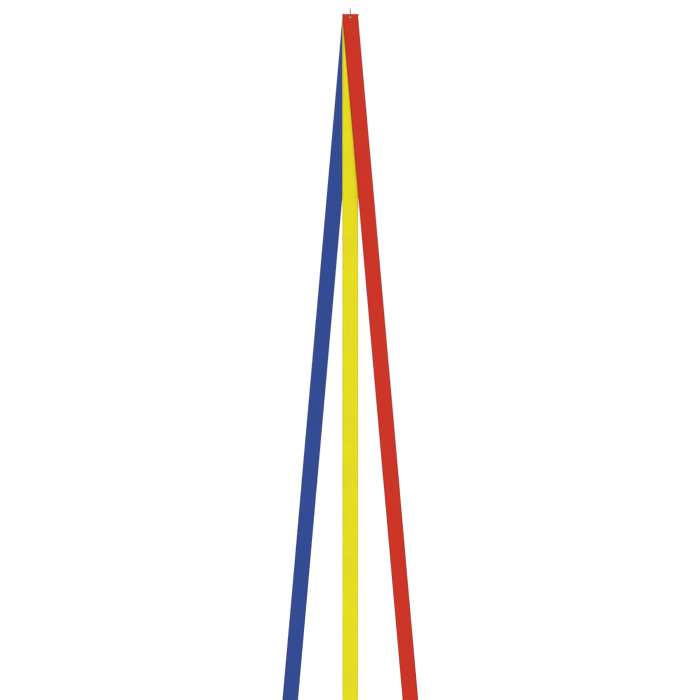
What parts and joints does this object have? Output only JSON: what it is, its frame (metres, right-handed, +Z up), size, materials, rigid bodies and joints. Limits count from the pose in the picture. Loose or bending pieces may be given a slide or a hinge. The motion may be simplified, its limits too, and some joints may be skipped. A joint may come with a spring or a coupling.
{
  "type": "streamer windsock",
  "caption": "Ribbon streamer windsock: coloured cloth ribbons stacked on a brass eyelet, fanned out, hung from a wire snap and a barrel swivel.",
  "frame": {"origin": "centre of the swivel's upper eye, which the windsock hangs from", "axes": "+Z up along the hanging line, the ribbons hang towards -Z; -Y is the front, where the red ribbon is; +X is to the right seen from the front"},
  "size_m": [0.469, 0.01, 2.4208],
  "materials": {
    "eye_wire": "nickel-plated wire",
    "barrel": "nickel-plated brass",
    "snap_steel": "blackened spring steel",
    "eyelet_brass": "plain brass, slightly tarnished",
    "red_cloth": "woven nylon",
    "yellow_cloth": "woven nylon",
    "blue_cloth": "woven nylon",
    "red_thread": "spun polyester thread",
    "yellow_thread": "spun polyester thread",
    "blue_thread": "spun polyester thread"
  },
  "bodies": {
    "hanger": {"upper_eye": "eye_wire"},
    "barrel": {"swivel_barrel": "barrel"},
    "swivel_foot": {"lower_eye": "eye_wire"},
    "snap": {"snap_wire": "snap_steel", "snap_lock_plate": "snap_steel"},
    "snap_gate": {"snap_arm": "snap_steel"},
    "header": {"eyelet": "eyelet_brass", "eyelet_washer": "eyelet_brass", "ribbon_yellow": "yellow_cloth", "header_stitch_yellow": "yellow_thread", "hem_stitch_yellow": "yellow_thread"},
    "red_streamer": {"ribbon_red": "red_cloth", "header_stitch_red": "red_thread", "hem_stitch_red": "red_thread"},
    "blue_streamer": {"ribbon_blue": "blue_cloth", "header_stitch_blue": "blue_thread", "hem_stitch_blue": "blue_thread"}
  },
  "joints": [
    {"name": "barrel_spin", "type": "hinge", "parent": "hanger", "child": "barrel", "pos_m": [0, 0, -0.0038], "axis": [0, 0, 1], "continuous": true},
    {"name": "foot_spin", "type": "hinge", "parent": "hanger", "child": "swivel_foot", "pos_m": [0, 0, -0.0076], "axis": [0, 0, 1], "continuous": true},
    {"name": "snap_swing", "type": "hinge", "parent": "swivel_foot", "child": "snap", "pos_m": [0, 0, -0.00905], "axis": [1, 0, 0], "range_deg": [-75, 75]},
    {"name": "gate_open", "type": "hinge", "parent": "snap", "child": "snap_gate", "pos_m": [0, 0.0046, -0.02525], "axis": [-1, 0, 0], "range_deg": [0, 30], "stiffness_Nm_per_rad": 0.002, "springref_deg": -5.73},
    {"name": "header_swing", "type": "hinge", "parent": "snap", "child": "header", "pos_m": [0, 0, -0.02745], "axis": [0, 1, 0], "range_deg": [-12, 12]},
    {"name": "red_fan", "type": "hinge", "parent": "header", "child": "red_streamer", "pos_m": [0, 0, -0.0289], "axis": [0, -1, 0], "range_deg": [-18, 18]},
    {"name": "blue_fan", "type": "hinge", "parent": "header", "child": "blue_streamer", "pos_m": [0, 0, -0.0289], "axis": [0, 1, 0], "range_deg": [-18, 18]}
  ]
}
